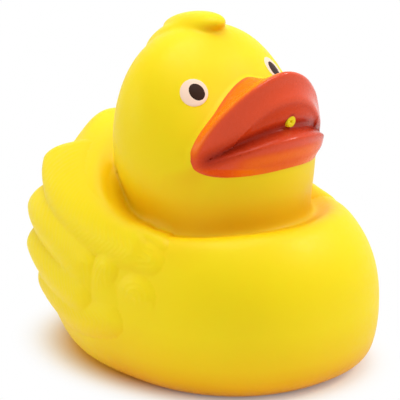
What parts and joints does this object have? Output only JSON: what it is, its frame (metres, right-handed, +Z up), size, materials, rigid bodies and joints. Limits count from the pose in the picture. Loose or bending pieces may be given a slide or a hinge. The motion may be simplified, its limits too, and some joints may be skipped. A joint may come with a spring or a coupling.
{
  "type": "rubber duck",
  "caption": "Hollow soft vinyl bath duck with an open bill, raised wing feathers, a tuft on the crown and a flat base.",
  "frame": {"origin": "on the surface that the duck stands on, under the middle of its bounding box", "axes": "+Z up, the duck faces -Y, +X is the duck's left side"},
  "size_m": [0.0659, 0.0836, 0.0763],
  "materials": {
    "vinyl_yellow": "satin",
    "bill_red": "gloss",
    "eye_white": "satin",
    "pupil_brown": "gloss"
  },
  "bodies": {
    "root": {"duck": "vinyl_yellow"}
  },
  "joints": []
}
